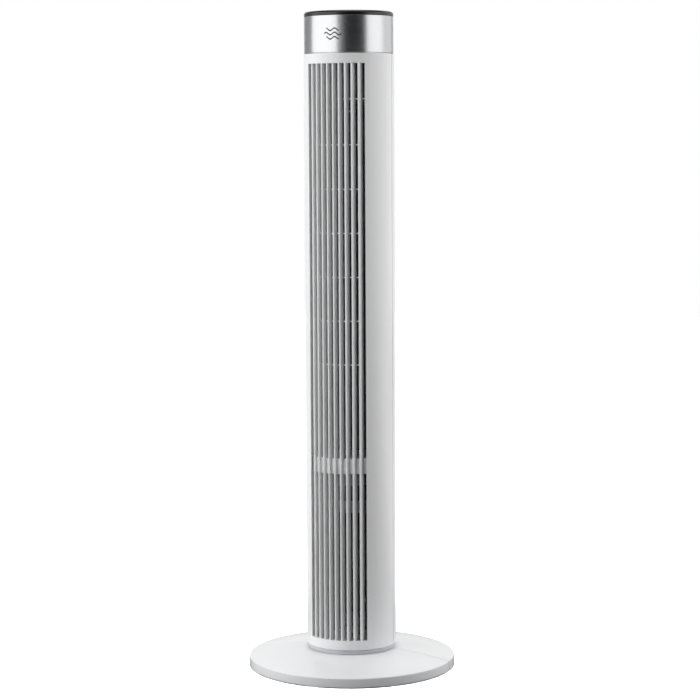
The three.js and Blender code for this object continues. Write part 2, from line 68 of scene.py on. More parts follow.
BASE_R = -base_low.y
TOWER_R = tower_high.x
HEAD_R = trim_high.x
WALL = 2.6 * MM
SEAM = 0.6 * MM  # half of the gap between two halves

# ---- Sizes of the grille: the CAD's, except that the fins have narrower noses ----
FIN_PITCH = 8.89 * MM
FIN_COUNT = 9
FIN_DEPTH = 12.9 * MM
FIN_SECTION = [  # depths and widths of a fin, front to back
    (0, 1.7 * MM), (0.2 * MM, 2.2 * MM), (0.6 * MM, 2.5 * MM),
    (1.2 * MM, 2.6 * MM), (6 * MM, 3.4 * MM), (FIN_DEPTH, 3.1 * MM),
]
FIN_SINK = 0.15 * MM  # the fins' fronts lie this far under the shell's surface
SLOT_HALF = 43.2 * MM  # half of the opening's width
SLOT_LOW = tower_low.z + 13.8 * MM
SLOT_HIGH = tower_high.z - 14.2 * MM
LIP = 2 * MM  # thickness of the frame round the opening
RIB_TOP = SLOT_HIGH - 115.9 * MM
RIB_STEP = 63.3 * MM
RIB_COUNT = 6
RIB_HEIGHT = 1.8 * MM

# ---- The partition's band, and the notch that the grille leaves for it ----
BAND_R = band_high.x
BAND_TOP = band_high.z
BAND_BOTTOM = BAND_TOP - 22.6 * MM
BAND_CLEAR = 0.3 * MM
NOTCH_DEPTH = TOWER_R - BAND_R - BAND_CLEAR
NOTCH_BOTTOM = BAND_BOTTOM - BAND_CLEAR
NOTCH_TOP = BAND_TOP + BAND_CLEAR

WELD = 1e-7  # vertices nearer to each other than this become one
SLACK = 1e-6  # forgives rounding where a value lies on a limit
SHARP = 32  # degrees: edges sharper than this are rounded or stay sharp


# ---- Mesh helpers ----


def on_tower(angle, radius):
    """The point of the tower at an angle from its front, in degrees, seen from above."""
    a = math.radians(angle)
    return radius * math.sin(a), -radius * math.cos(a)


def angle_of(x):
    """The angle from the tower's front, in degrees, of its surface at x."""
    return math.degrees(math.asin(x / TOWER_R))


def spread(first, last, step):
    """Even values from first to last, no further apart than step."""
    count = max(1, math.ceil(abs(last - first) / step - 1e-9))
    return [first + (last - first) * i / count for i in range(count + 1)]


def stations(marks, step):
    """Sorted values through every mark, no further apart than step."""
    marks = sorted(marks)
    out = [marks[0]]
    for a, b in zip(marks, marks[1:]):
        out += spread(a, b, step)[1:]
    return out


def slab(bm, us, vs, place, skip=None):
    """A thin wall: place(u, v, side) gives its two sides on a grid, and every free edge
    of the cells that are left gets a rim."""
    verts = {}

    def vert(i, j, side):
        key = (i, j, side)
        if key not in verts:
            verts[key] = bm.verts.new(place(us[i], vs[j], side))
        return verts[key]

    cells = set()
    for i in range(len(us) - 1):
        for j in range(len(vs) - 1):
            middle = (us[i] + us[i + 1]) / 2, (vs[j] + vs[j + 1]) / 2
            if not (skip and skip(*middle)):
                cells.add((i, j))
    for i, j in sorted(cells):
        quad = [(i, j), (i + 1, j), (i + 1, j + 1), (i, j + 1)]
        bm.faces.new([vert(a, b, 0) for a, b in quad])
        bm.faces.new([vert(a, b, 1) for a, b in reversed(quad)])
        beside = [(i, j - 1), (i + 1, j), (i, j + 1), (i - 1, j)]
        for k, neighbour in enumerate(beside):
            if neighbour not in cells:
                a, b = quad[k], quad[(k + 1) % 4]
                bm.faces.new([vert(*b, 0), vert(*a, 0), vert(*a, 1), vert(*b, 1)])


def rounded(corners, steps=4):
    """A closed outline from (x, y, radius) corners, each rounded by its radius."""
    out = []
    for i, (x, y, radius) in enumerate(corners):
        if not radius:
            out.append((x, y))
            continue
        here = Vector((x, y))
        back = (Vector(corners[i - 1][:2]) - here).normalized()
        ahead = (Vector(corners[(i + 1) % len(corners)][:2]) - here).normalized()
        half = math.acos(max(-1, min(1, back.dot(ahead)))) / 2
        centre = here + (back + ahead).normalized() * (radius / math.sin(half))
        start = here + back * (radius / math.tan(half)) - centre
        end = here + ahead * (radius / math.tan(half)) - centre
        first = math.atan2(start.y, start.x)
        turn_by = math.atan2(start.x * end.y - start.y * end.x, start.dot(end))
        for k in range(steps + 1):
            a = first + turn_by * k / steps
            out.append((centre.x + radius * math.cos(a), centre.y + radius * math.sin(a)))
    return out


def turn(bm, outline, steps=96, first=0.0, last=360.0, to=None):
    """Turns a closed (radius, height) outline about the upright axis, part of the way or
    right round, and carries it there by the matrix `to`."""
    to = to or Matrix.Identity(4)
    whole = last - first >= 360
    rows = []
    for k in range(steps if whole else steps + 1):
        a = math.radians(first + (last - first) * k / steps)
        points = [Vector((r * math.cos(a), r * math.sin(a), z)) for r, z in outline]
        rows.append([bm.verts.new(to @ point) for point in points])
    for k in range(steps):
        here, there = rows[k], rows[(k + 1) % len(rows)]
        for i in range(len(outline)):
            j = (i + 1) % len(outline)
            if outline[i][0] > WELD or outline[j][0] > WELD:  # not along the axis
                bm.faces.new([here[i], there[i], there[j], here[j]])
    if not whole:
        bm.faces.new(rows[0])
        bm.faces.new(list(reversed(rows[-1])))


def rod(radius, low, high):
    """The outline to turn for a plain upright rod."""
    return [(0, low), (radius, low), (radius, high), (0, high)]


def loft(bm, rings):
    """Joins closed rings of points, one after the other, and caps both ends."""
    rows = [[bm.verts.new(point) for point in ring] for ring in rings]
    for here, there in zip(rows, rows[1:]):
        for i in range(len(here)):
            j = (i + 1) % len(here)
            bm.faces.new([here[i], here[j], there[j], there[i]])
    bm.faces.new(list(reversed(rows[0])))
    bm.faces.new(rows[-1])


def rounded_box(bm, low, high, radius, steps=3):
    """A box whose upright edges are rounded."""
    corners = [(low[0], low[1]), (high[0], low[1]), (high[0], high[1]), (low[0], high[1])]
    outline = rounded([(x, y, radius) for x, y in corners], steps)
    loft(bm, [[Vector((x, y, z)) for x, y in outline] for z in (low[2], high[2])])


def finish_mesh(bm, name):
    """Welds the mesh, turns its faces outward and makes a smooth-shaded object of it."""
    bmesh.ops.remove_doubles(bm, verts=bm.verts, dist=WELD)
    bmesh.ops.recalc_face_normals(bm, faces=bm.faces)
    mesh = bpy.data.meshes.new(name)
    bm.to_mesh(mesh)
    bm.free()
    mesh.polygons.foreach_set("use_smooth", [True] * len(mesh.polygons))
    piece = bpy.data.objects.new(name, mesh)
    bpy.context.scene.collection.objects.link(piece)
    return piece


def cut(piece, cutter):
    """Takes the cutter's shape out of the piece, and the cutter away."""
    tool = finish_mesh(cutter, "cutter")
    modifier = piece.modifiers.new("cut", "BOOLEAN")
    modifier.operation = "DIFFERENCE"
    modifier.solver = "EXACT"
    modifier.object = tool
    bpy.context.view_layer.update()
    made = piece.evaluated_get(bpy.context.evaluated_depsgraph_get())
    mesh = bpy.data.meshes.new_from_object(made)
    piece.modifiers.clear()
    piece.data = mesh
    bpy.data.objects.remove(tool)


def soften(piece, width, steps=2, angle=SHARP):
    """Rounds every edge that is sharper than the angle."""
    bevel = piece.modifiers.new("edges", "BEVEL")
    bevel.width = width
    bevel.segments = steps
    bevel.limit_method = "ANGLE"
    bevel.angle_limit = math.radians(angle)
    bevel.harden_normals = True
    bevel.miter_outer = "MITER_ARC"


def dress(piece, body, material, replaces=()):
    """Puts a finished piece on its body, in its material, in place of CAD nodes."""
    piece.data.materials.clear()
    piece.data.materials.append(material)
    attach(piece, body)
    if replaces:
        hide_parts(*replaces)


# ---- Materials ----


COAT_ROUGHNESS = 0.05
GRAIN_RELIEF = 0.2 * MM
MOTTLE_SIZE = 40  # how much broader the mottling is than the grain
# Painted shade: the colour that a shell's inside takes, dark as the shade within the tower
INNER_SHADE = (0.05, 0.051, 0.055)  # the dark inside of a shell that is white outside


def add_node(tree, kind, **values):
    """A new shader node with these input values."""
    made = tree.nodes.new(kind)
    for key, value in values.items():
        made.inputs[key].default_value = value
    return made


def add_noise(tree, vector, size, detail):
    """Noise of a size in steps per metre, as a value from 0 to 1."""
    noise = add_node(tree, "ShaderNodeTexNoise", Scale=size, Detail=detail, Roughness=0.55)
    tree.links.new(vector, noise.inputs["Vector"])
    return noise.outputs["Fac"]


def add_mottle(tree, factor, colour, mottle):
    """A colour that wanders a little to both sides of the given one."""
    tint = tree.nodes.new("ShaderNodeMix")
    tint.data_type = "RGBA"
    tint.inputs["A"].default_value = (*[c * (1 - mottle) for c in colour], 1)
    tint.inputs["B"].default_value = (*[min(1, c * (1 + mottle)) for c in colour], 1)
    tree.links.new(factor, tint.inputs["Factor"])
    return tint.outputs["Result"]


def add_dark_inside(tree, place, colour, reach):
    """The colour as it is, but dark nearer to the upright axis than `reach`: a painted shade for a shell's
    inside.
    """
    flat = tree.nodes.new("ShaderNodeVectorMath")
    flat.operation = "MULTIPLY"
    flat.inputs[1].default_value = (1, 1, 0)
    tree.links.new(place, flat.inputs[0])
    distance = tree.nodes.new("ShaderNodeVectorMath")
    distance.operation = "LENGTH"
    tree.links.new(flat.outputs["Vector"], distance.inputs[0])
    inside = tree.nodes.new("ShaderNodeMath")
    inside.operation = "LESS_THAN"
    inside.inputs[1].default_value = reach
    tree.links.new(distance.outputs["Value"], inside.inputs[0])
    paint = tree.nodes.new("ShaderNodeMix")
    paint.data_type = "RGBA"
    paint.inputs["B"].default_value = (*INNER_SHADE, 1)
    tree.links.new(inside.outputs["Value"], paint.inputs["Factor"])
    tree.links.new(colour, paint.inputs["A"])
    return paint.outputs["Result"]


def surface(name, colour, roughness, metallic=0.0, grain=900.0, bump=0.02, mottle=0.03,
            swing=0.15, stretch=(1, 1, 1), coat=0.0, dark_within=0.0):
    """A procedural finish: broad mottling of colour, fine grain in roughness and relief.
    Nearer to the upright axis than `dark_within` it's dark: painted shade of the tower's inside."""
    material = bpy.data.materials.new(name)
    material.use_nodes = True
    tree = material.node_tree
    shader = tree.nodes["Principled BSDF"]
    shader.inputs["Metallic"].default_value = metallic
    shader.inputs["Coat Weight"].default_value = coat
    shader.inputs["Coat Roughness"].default_value = COAT_ROUGHNESS

    place = tree.nodes.new("ShaderNodeTexCoord").outputs["Object"]
    scale = add_node(tree, "ShaderNodeMapping", Scale=stretch)
    tree.links.new(place, scale.inputs["Vector"])
    broad = add_noise(tree, scale.outputs["Vector"], grain / MOTTLE_SIZE, 3.0)
    fine = add_noise(tree, scale.outputs["Vector"], grain, 2.0)

    paint = add_mottle(tree, broad, colour, mottle)
    if dark_within:
        paint = add_dark_inside(tree, place, paint, dark_within)
    tree.links.new(paint, shader.inputs["Base Color"])

    gloss = add_node(tree, "ShaderNodeMapRange")
    gloss.inputs["To Min"].default_value = roughness * (1 - swing)
    gloss.inputs["To Max"].default_value = min(1, roughness * (1 + swing))
    tree.links.new(fine, gloss.inputs["Value"])
    tree.links.new(gloss.outputs["Result"], shader.inputs["Roughness"])

    relief = add_node(tree, "ShaderNodeBump", Strength=bump, Distance=GRAIN_RELIEF)
    tree.links.new(fine, relief.inputs["Height"])
    tree.links.new(relief.outputs["Normal"], shader.inputs["Normal"])
    return material


SHELL_WHITE = (0.885, 0.887, 0.893)
WHITE_SHELL = surface("white_shell", SHELL_WHITE, 0.3, grain=1400, bump=0.05, mottle=0.008)
# The rear shell's inside is dark: painted shade of the tower's interior
WHITE_REAR = surface("white_shell_painted_inner_shade", SHELL_WHITE, 0.3, grain=1400, bump=0.05, mottle=0.008,
                     dark_within=TOWER_R - 1.6 * MM)
WHITE_BASE = surface("white_base", (0.885, 0.888, 0.898), 0.22, grain=1200, bump=0.03, mottle=0.008, coat=0.2)
# A lavender grey plastic, made darker as painted shade of the recess under the tower
COLLAR_GREY_AND_SHADE = surface("collar_grey_and_painted_shade", (0.60, 0.59, 0.64), 0.35, grain=1400, bump=0.04, mottle=0.01)
SILVER = surface("silver", (0.52, 0.525, 0.535), 0.27, metallic=1.0, grain=3200, bump=0.004, mottle=0.01,
                 swing=0.06)
BLACK = surface("black_gloss", (0.009, 0.009, 0.010), 0.28, grain=900, bump=0.015, mottle=0.1)
BUTTON = surface("button_black", (0.02, 0.02, 0.022), 0.38, grain=2500, bump=0.12, mottle=0.1)
MARK = surface("mark_print", (0.62, 0.64, 0.66), 0.5, grain=2500, bump=0.05)
INK = surface("mark_ink", (0.03, 0.03, 0.034), 0.45, grain=2500, bump=0.05)
LENS = surface("smoked_lens", (0.004, 0.004, 0.006), 0.04, grain=500, bump=0.004, coat=0.5)
NYLON = surface("nylon", (0.75, 0.73, 0.66), 0.45, grain=900, bump=0.05)
GREY = surface("grey_plastic", (0.06, 0.062, 0.066), 0.5, grain=1600, bump=0.2, mottle=0.04)
DARK = surface("dark_plastic", (0.030, 0.031, 0.034), 0.48, grain=1400, bump=0.15, mottle=0.08)
RUBBER = surface("rubber", (0.022, 0.022, 0.022), 0.8, grain=1200, bump=0.3, mottle=0.15)
STEEL = surface("steel", (0.42, 0.43, 0.44), 0.36, metallic=1.0, grain=1800, bump=0.06, mottle=0.04)
DARK_STEEL = surface("dark_steel", (0.10, 0.105, 0.11), 0.5, metallic=0.7, grain=700, bump=0.25, mottle=0.15)
BRONZE = surface("bronze", (0.52, 0.33, 0.14), 0.36, metallic=1.0, grain=1500, bump=0.1, mottle=0.08)
COPPER = surface("copper_wire", (0.60, 0.24, 0.09), 0.3, metallic=1.0, grain=300, bump=0.6, mottle=0.1,
                 stretch=(1, 1, 12))
BOARD = surface("circuit_board", (0.008, 0.040, 0.022), 0.45, grain=500, bump=0.1, mottle=0.2)
CABLE = surface("cable_sleeve", (0.025, 0.025, 0.027), 0.6, grain=1100, bump=0.25, mottle=0.1)

SLOT_MATERIAL = {
    "white_base": WHITE_BASE, "white_shell": WHITE_SHELL, "foot": WHITE_BASE, "silver": SILVER,
    "black_gloss": BLACK, "button": BUTTON, "smoked": LENS, "nylon": NYLON, "grey_plastic": GREY,
    "dark_plastic": DARK, "rubber": RUBBER, "steel": STEEL, "dark_steel": DARK_STEEL,
    "bronze": BRONZE, "copper": COPPER, "board": BOARD, "cable": CABLE,
}


def dress_cad_nodes():
    """Every CAD node gets the finish of its material slot."""
    for part in frame["record"]["subparts"]:
        mesh = nodes[part["node"]].data
        mesh.materials.clear()
        mesh.materials.append(SLOT_MATERIAL[part["material_slot"]])
        mesh.set_sharp_from_angle(angle=math.radians(SHARP))


# ---- Base ----
RIM_WALL = 6 * MM
RIM_TOP = 15.2 * MM
RIM_DRAFT = 0.4 * MM  # the rim leans in by this much on its way up
RIM_ROUND = 1.8 * MM
DOME_PEAK = 30.88 * MM
DOME_CURVE = 1435 * MM
DOME_WALL = 2.6 * MM
SEAT_Z = 27.3 * MM  # the flat place that the collar stands on
SEAT_HOLE = 15 * MM
SEAT_R = 66.2 * MM
PAD_INSET = 0.15 * MM
PAD_WIDTH = 5 * MM
PAD_HALF = 7 * MM


def dome_height(r):
    """The dome's height at a distance from the axis."""
    return DOME_PEAK - r * r / DOME_CURVE


def base_outline():
    """The hollow base's half section, (radius, height): out along the underside, up the
    rim and back over the dome to the seat."""
    floor = base_low.z
    over = [(r, dome_height(r)) for r in spread(BASE_R - 2.8 * MM, SEAT_R + 0.6 * MM, 6 * MM)]
    corner = BASE_R - RIM_DRAFT
    rim = rounded([
        (BASE_R - RIM_WALL, floor, 0), (BASE_R, floor, 0.4 * MM),
        (corner, dome_height(corner), RIM_ROUND), (*over[0], 0),
    ], 6)[:-1]
    reach = spread(SEAT_R, BASE_R - RIM_WALL - 2 * MM, 12 * MM)
    under = [(r, dome_height(r) - DOME_WALL) for r in reach]
    return [
        (SEAT_HOLE, SEAT_Z - DOME_WALL),
        *under,
        (BASE_R - RIM_WALL, RIM_TOP - DOME_WALL - 1 * MM),
        *rim,
        *over,
        (SEAT_R, SEAT_Z + 0.2 * MM),
        (SEAT_R - 0.3 * MM, SEAT_Z),
        (SEAT_HOLE, SEAT_Z),
    ]


def build_base():
    """The two halves of the domed base, which meet at a seam."""
    outline = base_outline()
    gap = math.degrees(SEAM / BASE_R)
    halves = (("base_shell_front", 180, "base_front_half"), ("base_shell_rear", 0, "base_rear_half"))
    for name, first, node in halves:
        bm = bmesh.new()
        turn(bm, outline, 90, first + gap, first + 180 - gap)
        piece = finish_mesh(bm, name)
        soften(piece, 0.3 * MM)
        dress(piece, "base", WHITE_BASE, [node])


def build_feet():
    """Short pads along the rim's underside, with rounded soles."""
    outer = BASE_R - PAD_INSET
    inner = outer - PAD_WIDTH
    half = math.degrees(PAD_HALF / outer)
    outline = rounded([
        (inner, 0, 0.5 * MM), (outer, 0, 0.5 * MM), (outer, base_low.z, 0), (inner, base_low.z, 0),
    ], 3)
    for i in range(1, 11):
        node = f"foot_{i}"
        low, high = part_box(node)
        middle = (low + high) / 2
        angle = math.degrees(math.atan2(middle.y, middle.x))
        bm = bmesh.new()
        turn(bm, outline, 8, angle - half, angle + half)
        piece = finish_mesh(bm, f"foot_pad_{i}")
        soften(piece, 0.35 * MM)
        dress(piece, "base", WHITE_BASE, [node])


def build_collar():
    """The fixed swivel base: a collar on the seat, a plug below it and a spigot above."""
    low, top, r = collar_low.z, collar_high.z, collar_high.x
    plug, spigot = 14.5 * MM, 12 * MM
    foot = SEAT_Z + 0.3 * MM
    ledge = tower_low.z - 0.7 * MM
    outline = rounded([
        (0, low, 0), (plug, low, 0.5 * MM), (plug, foot, 0),
        (r - 1 * MM, foot, 0), (r, foot + 0.2 * MM, 0.1 * MM),
        (r, ledge, 0.7 * MM), (r - 6 * MM, ledge, 0), (spigot, ledge, 1 * MM),
        (spigot, top, 0.8 * MM), (0, top, 0),
    ], 4)
    bm = bmesh.new()
    turn(bm, outline, 128)
    piece = finish_mesh(bm, "fixed_collar")
    soften(piece, 0.15 * MM)
    dress(piece, "base", COLLAR_GREY_AND_SHADE, ["swivel_base"])


# ---- Tower shells ----


def wall_place(high_edge=None):
    """Places a shell's wall on its two sides. Behind an opening the inner side keeps the
    outer side's x, so that the opening's edges run straight back. Above the first value of
    `high_edge`, its second, a function of angle and height, gives the height."""

    def place(angle, z, side):
        if high_edge and z > high_edge[0]:
            z = high_edge[1](angle, z)
        x, y = on_tower(angle, TOWER_R)
        if not side:
            return Vector((x, y, z))
        if abs(x) <= SLOT_HALF + SLACK:
            return Vector((x, math.copysign(math.sqrt((TOWER_R - WALL) ** 2 - x * x), y), z))
        return Vector((*on_tower(angle, TOWER_R - WALL), z))

    return place


def shell_y(x, depth):
    """The y of a point that lies `depth` behind the tower's front surface."""
    return -math.sqrt(TOWER_R ** 2 - x * x) + depth


def fin_width(depth):
    """A fin's width at a depth: a narrow rounded nose that widens to the full section."""
    for (d0, w0), (d1, w1) in zip(FIN_SECTION, FIN_SECTION[1:]):
        if depth <= d1:
            return w0 + (w1 - w0) * (depth - d0) / (d1 - d0)
    return FIN_SECTION[-1][1]


def in_notch(depth, z):
    """Whether a place behind the grille's front is left free for the partition's band."""
    return depth > NOTCH_DEPTH and NOTCH_BOTTOM < z < NOTCH_TOP


def add_fin(bm, middle):
    """One upright fin, notched at the back where the partition's band passes."""
    depths = sorted([NOTCH_DEPTH, *[depth for depth, width in FIN_SECTION]])
    heights = [SLOT_LOW - 1 * MM, NOTCH_BOTTOM, NOTCH_TOP, SLOT_HIGH + 1 * MM]

    def place(depth, z, side):
        x = middle + (side - 0.5) * fin_width(depth)
        return Vector((x, shell_y(middle, depth + FIN_SINK), z))

    slab(bm, depths, heights, place, in_notch)


def add_ribs(bm):
    """The level ribs that join the fins at the back."""
    reach = (FIN_COUNT - 1) / 2 * FIN_PITCH
    for i in range(RIB_COUNT):
        z = RIB_TOP - i * RIB_STEP

        def place(x, depth, side, z=z):
            return Vector((x, shell_y(x, depth), z + (0.5 - side) * RIB_HEIGHT))

        slab(bm, spread(-reach, reach, 3 * MM), [FIN_DEPTH - 3 * MM, FIN_DEPTH - 0.1 * MM], place)


def add_lips(bm):
    """The frame that runs back from the grille opening's edges."""
    heights = [SLOT_LOW - LIP, NOTCH_BOTTOM, NOTCH_TOP, SLOT_HIGH + LIP]
    for sign in (-1, 1):
        def beside(depth, z, side, sign=sign):
            return Vector((sign * (SLOT_HALF + side * LIP), shell_y(SLOT_HALF, depth), z))

        slab(bm, [3 * MM, NOTCH_DEPTH, FIN_DEPTH], heights, beside, in_notch)
    for edge, sign in ((SLOT_LOW, -1), (SLOT_HIGH, 1)):
        def across(x, depth, side, edge=edge, sign=sign):
            return Vector((x, shell_y(x, depth), edge + sign * side * LIP))

        slab(bm, spread(-SLOT_HALF, SLOT_HALF, 3 * MM), [2.2 * MM, FIN_DEPTH], across)


def build_front_shell():
    """The front half of the tower's skin, with its ten slots and what lies in them."""
    opening = angle_of(SLOT_HALF)
    last = 90 - math.degrees(SEAM / TOWER_R)
    angles = stations([-last, -opening, opening, last], 2)
    heights = [tower_low.z, SLOT_LOW, SLOT_HIGH, tower_high.z]
    bm = bmesh.new()
    slab(bm, angles, heights, wall_place(), lambda a, z: abs(a) < opening and SLOT_LOW < z < SLOT_HIGH)
    for i in range(FIN_COUNT):
        add_fin(bm, (i - (FIN_COUNT - 1) / 2) * FIN_PITCH)
    add_ribs(bm)
    add_lips(bm)
    piece = finish_mesh(bm, "grille_cover")
    soften(piece, 0.45 * MM)
    dress(piece, "tower", WHITE_SHELL, ["front_grille_shell"])


INTAKE_LOW = 330 * MM
INTAKE_HIGH = 815 * MM
INTAKE_ROWS = 4
INTAKE_RIB = 5 * MM  # left standing between two rows
INTAKE_SLOTS = 10
INTAKE_SLOT = 6 * MM
GUARD_HALF = 46 * MM  # half of the guard ribs' reach
GUARD_STEP = 11 * MM
GUARD_HEIGHT = 1.2 * MM
CORNER = 3 * MM  # rounding of the rear shell's upper corners


def rear_windows():
    """The openings in the rear shell, each as its x and z limits."""
    pitch = (INTAKE_HIGH - INTAKE_LOW + INTAKE_RIB) / INTAKE_ROWS
    windows = []
    for i in range(INTAKE_SLOTS):
        x = (i - (INTAKE_SLOTS - 1) / 2) * FIN_PITCH
        for k in range(INTAKE_ROWS):
            top = INTAKE_LOW + (k + 1) * pitch - INTAKE_RIB
            windows.append((x - INTAKE_SLOT / 2, x + INTAKE_SLOT / 2, INTAKE_LOW + k * pitch, top))
    edge = 0.3 * MM
    windows.append((handle_low.x - edge, handle_high.x + edge, handle_low.z - edge, handle_high.z + edge))
    half = 5.2 * MM
    middle = (gland_low.z + gland_high.z) / 2
    windows.append((-half, half, middle - half, middle + half))
    return windows


def add_guard_ribs(bm):
    """Fine level ribs across the intake, just behind its slots."""
    for z in spread(INTAKE_LOW + 6 * MM, INTAKE_HIGH - 6 * MM, GUARD_STEP):
        def place(x, depth, side, z=z):
            return Vector((x, -shell_y(x, depth), z + (side - 0.5) * GUARD_HEIGHT))

        slab(bm, spread(-GUARD_HALF, GUARD_HALF, 4 * MM), [1.5 * MM, 4 * MM], place)


def build_rear_shell():
    """The rear half of the tower's skin, with the intake, the handle's and the gland's holes."""
    gap = math.degrees(SEAM / TOWER_R)
    corner = math.degrees(CORNER / TOWER_R)
    windows = rear_windows()
    marks = [180 - angle_of(x) for x in {x for window in windows for x in window[:2]}]
    for end, sign in ((90 + gap, 1), (270 - gap, -1)):
        marks += [end + sign * corner * share for share in (0, 0.1, 0.25, 0.5, 1)]
    angles = stations(marks, 2.2)
    heights = sorted({z for window in windows for z in window[2:]} | {rear_low.z, rear_high.z})

    def rounded_corner(angle, z):
        along = min(angle - 90, 270 - angle) - gap
        short = max(0, 1 - along / corner) * CORNER
        return z - (CORNER - math.sqrt(max(0, CORNER ** 2 - short ** 2)))

    def in_window(angle, z):
        x = on_tower(angle, TOWER_R)[0]
        return any(x0 < x < x1 and z0 < z < z1 for x0, x1, z0, z1 in windows)

    bm = bmesh.new()
    slab(bm, angles, heights, wall_place((rear_high.z - 1 * MM, rounded_corner)), in_window)
    add_guard_ribs(bm)
    piece = finish_mesh(bm, "rear_cover")
    soften(piece, 0.4 * MM)
    dress(piece, "tower", WHITE_REAR, ["rear_intake_shell"])


def build_handle():
    """A moulded cup let into the rear shell, with a lip that follows the shell."""
    half, wall = handle_high.x, 2 * MM
    z0, z1 = handle_low.z, handle_high.z
    floor = handle_low.y

    def outline(inset, radius):
        return rounded([(-half + inset, z0 + inset, radius), (half - inset, z0 + inset, radius),
                        (half - inset, z1 - inset, radius), (-half + inset, z1 - inset, radius)], 5)

    def at_surface(inset, radius, sink):
        return [Vector((x, math.sqrt(TOWER_R ** 2 - x * x) - sink, z)) for x, z in outline(inset, radius)]

    def at_depth(inset, radius, y):
        return [Vector((x, y, z)) for x, z in outline(inset, radius)]

    bm = bmesh.new()
    loft(bm, [
        at_depth(0.6 * MM, 4 * MM, floor),
        at_depth(0.1 * MM, 4.4 * MM, floor + 1.5 * MM),
        at_surface(0.1 * MM, 4.4 * MM, 2 * MM),
        at_surface(0.1 * MM, 4.4 * MM, 0.3 * MM),
        at_surface(0.5 * MM, 4 * MM, -0.05 * MM),
        at_surface(wall - 0.4 * MM, 3 * MM, -0.05 * MM),
        at_surface(wall, 2.8 * MM, 0.5 * MM),
        at_depth(wall + 0.3 * MM, 2.8 * MM, floor + wall + 4 * MM),
        at_depth(wall + 1.3 * MM, 2.8 * MM, floor + wall + 1.3 * MM),
        at_depth(wall + 4 * MM, 2 * MM, floor + wall),
    ])
    piece = finish_mesh(bm, "carry_handle_cup")
    soften(piece, 0.3 * MM, angle=50)
    dress(piece, "tower", GREY, ["carry_handle"])


def along_y(x, y, z):
    """Carries an upright turning so that its axis points to +Y from x, y, z."""
    return Matrix.Translation((x, y, z)) @ Matrix.Rotation(math.radians(-90), 4, "X")


def build_gland():
    """The bushing that the cord would leave by: a flanged tube with a rounded mouth."""
    z = (gland_low.z + gland_high.z) / 2
    length = gland_high.y - gland_low.y
    face = length - 2.7 * MM
    bore, body, flange = 3.7 * MM, 6.3 * MM, gland_high.x
    outline = rounded([
        (bore, 0, 0.3 * MM), (body, 0, 0.5 * MM), (body, face, 0), (flange, face, 0.2 * MM),
        (flange, length - 0.8 * MM, 0.7 * MM), (bore + 1.6 * MM, length, 0.7 * MM),
        (bore, length - 1 * MM, 0.4 * MM),
    ], 4)
    bm = bmesh.new()
    turn(bm, outline, 48, to=along_y(0, gland_low.y, z))
    piece = finish_mesh(bm, "cord_bushing")
    dress(piece, "tower", DARK, ["cord_gland"])


def build_partition():
    """The floor under the impeller, whose skirt shows as a level band behind the fins."""
    wall, bore = 2.5 * MM, 9 * MM
    inner, under = BAND_R - wall, BAND_TOP - wall
    outline = rounded([
        (bore, under, 0), (inner, under, 0), (inner, BAND_BOTTOM, 0.3 * MM),
        (BAND_R, BAND_BOTTOM, 0.3 * MM), (BAND_R, BAND_TOP, 0.4 * MM), (bore, BAND_TOP, 0.3 * MM),
    ], 3)
    bm = bmesh.new()
    turn(bm, outline, 120)
    leg = rod(4 * MM, band_low.z, BAND_TOP - 1 * MM)
    circle, motor_y = 30 * MM, 5 * MM
    for angle in (30, 150, 270):
        a = math.radians(angle)
        place = (circle * math.cos(a), circle * math.sin(a) + motor_y, 0)
        turn(bm, leg, 20, to=Matrix.Translation(place))
    piece = finish_mesh(bm, "partition_band")
    hole = bmesh.new()
    wire_hole = rod(3.5 * MM, BAND_BOTTOM, BAND_TOP + 2 * MM)
    turn(hole, wire_hole, 24, to=Matrix.Translation((-48 * MM, 32 * MM, 0)))
    cut(piece, hole)
    soften(piece, 0.2 * MM)
    dress(piece, "tower", WHITE_SHELL, ["motor_partition"])


# ---- Head ----


def build_trim():
    """The silver ring, with the narrower skirt that plugs into the tower."""
    r, low, high = HEAD_R, trim_low.z, trim_high.z
    wall, bore, skirt = 2.6 * MM, 60.3 * MM, 62.8 * MM
    step = tower_high.z + 1 * MM
    shelf = step + 3 * MM
    outline = rounded([
        (bore, low, 0), (skirt, low, 0.3 * MM), (skirt, step, 0), (r, step, 0.5 * MM),
        (r, high, 0.4 * MM), (r - wall, high, 0.2 * MM), (r - wall, shelf, 0), (bore, shelf, 0),
    ], 4)
    bm = bmesh.new()
    turn(bm, outline, 160)
    piece = finish_mesh(bm, "trim_band")
    soften(piece, 0.12 * MM, angle=40)
    dress(piece, "tower", SILVER, ["trim_ring"])


def build_breeze_mark():
    """Three short waves printed on the silver ring, a plain sign for moving air."""
    bm = bmesh.new()
    middle_z = (trim_low.z + 9 * MM + trim_high.z) / 2
    half, row_step, swell, stroke = 13 * MM, 6 * MM, 1.8 * MM, 1 * MM
    outside, inside = HEAD_R + 0.09 * MM, HEAD_R - 0.2 * MM
    for row in (-1, 0, 1):
        reach = half if row == 0 else half * 0.72

        def place(s, across, side, row=row):
            angle = math.degrees(s / HEAD_R)
            wave = swell * math.sin(s / half * 2 * math.pi)
            x, y = on_tower(angle, inside if side else outside)
            return Vector((x, y, middle_z + row * row_step + wave + across))

        slab(bm, spread(-reach, reach, 0.5 * MM), [-stroke, stroke], place)
    piece = finish_mesh(bm, "breeze_mark")
    piece.data.set_sharp_from_angle(angle=math.radians(40))
    dress(piece, "tower", INK)


BUTTONS = ("power", "speed", "mode", "timer", "swing")
BUTTON_R = 5 * MM
BUTTON_DISH = 0.25 * MM  # depth of the hollow in a button's top
SIGN_STROKE = 0.28 * MM  # half of a stroke's width
CAP_WALL = 2.5 * MM


def button_centre(name):
    """Where a button stands on the cap."""
    low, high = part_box(f"{name}_button")
    return (low.x + high.x) / 2, (low.y + high.y) / 2


